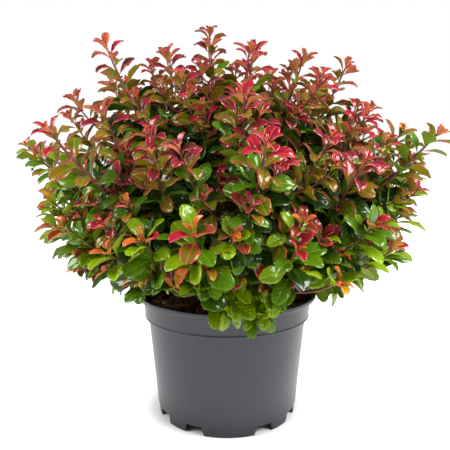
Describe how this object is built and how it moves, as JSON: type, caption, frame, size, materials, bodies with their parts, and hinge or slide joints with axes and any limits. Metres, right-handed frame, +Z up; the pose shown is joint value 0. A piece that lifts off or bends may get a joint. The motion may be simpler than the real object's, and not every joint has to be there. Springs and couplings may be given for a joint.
{
  "type": "potted evergreen shrub",
  "caption": "Dense round evergreen shrub with toothed glossy leaves, green below and red at the shoot tips, in a dark round nursery pot.",
  "frame": {"origin": "centre of the pot's flat underside, on the level the pot stands on", "axes": "+Z up along the pot's axis, -Y towards the front of the plant, +X to its right"},
  "size_m": [0.5193, 0.491, 0.4925],
  "materials": {
    "pot_plastic": "satin moulded",
    "bark_mulch": "rough shredded bark",
    "woody_bark": "ridged bark",
    "green_foliage": "glossy leaf",
    "bronze_foliage": "glossy leaf",
    "red_foliage": "glossy leaf"
  },
  "bodies": {
    "root": {"pot": "pot_plastic", "potting_soil": "bark_mulch", "main_stem": "woody_bark", "low_bough_1": "woody_bark", "low_bough_2": "woody_bark", "low_bough_3": "woody_bark", "low_bough_4": "woody_bark", "low_bough_5": "woody_bark", "low_bough_6": "woody_bark", "low_bough_7": "woody_bark", "low_bough_8": "woody_bark", "side_bough_1": "woody_bark", "side_bough_2": "woody_bark", "side_bough_3": "woody_bark", "side_bough_4": "woody_bark", "side_bough_5": "woody_bark", "side_bough_6": "woody_bark", "side_bough_7": "woody_bark", "side_bough_8": "woody_bark", "shoulder_bough_1": "woody_bark", "shoulder_bough_2": "woody_bark", "shoulder_bough_3": "woody_bark", "shoulder_bough_4": "woody_bark", "shoulder_bough_5": "woody_bark", "low_foliage_1": "green_foliage", "low_foliage_2": "green_foliage", "low_foliage_3": "green_foliage", "low_foliage_4": "green_foliage", "low_foliage_5": "green_foliage", "low_foliage_6": "green_foliage", "low_foliage_7": "green_foliage", "low_foliage_8": "green_foliage", "side_foliage_1": "bronze_foliage", "side_foliage_2": "bronze_foliage", "side_foliage_3": "bronze_foliage", "side_foliage_4": "bronze_foliage", "side_foliage_5": "bronze_foliage", "side_foliage_6": "bronze_foliage", "side_foliage_7": "bronze_foliage", "side_foliage_8": "bronze_foliage", "shoulder_foliage_1": "red_foliage", "shoulder_foliage_2": "red_foliage", "shoulder_foliage_3": "red_foliage", "shoulder_foliage_4": "red_foliage", "shoulder_foliage_5": "red_foliage", "top_foliage": "red_foliage"}
  },
  "joints": []
}
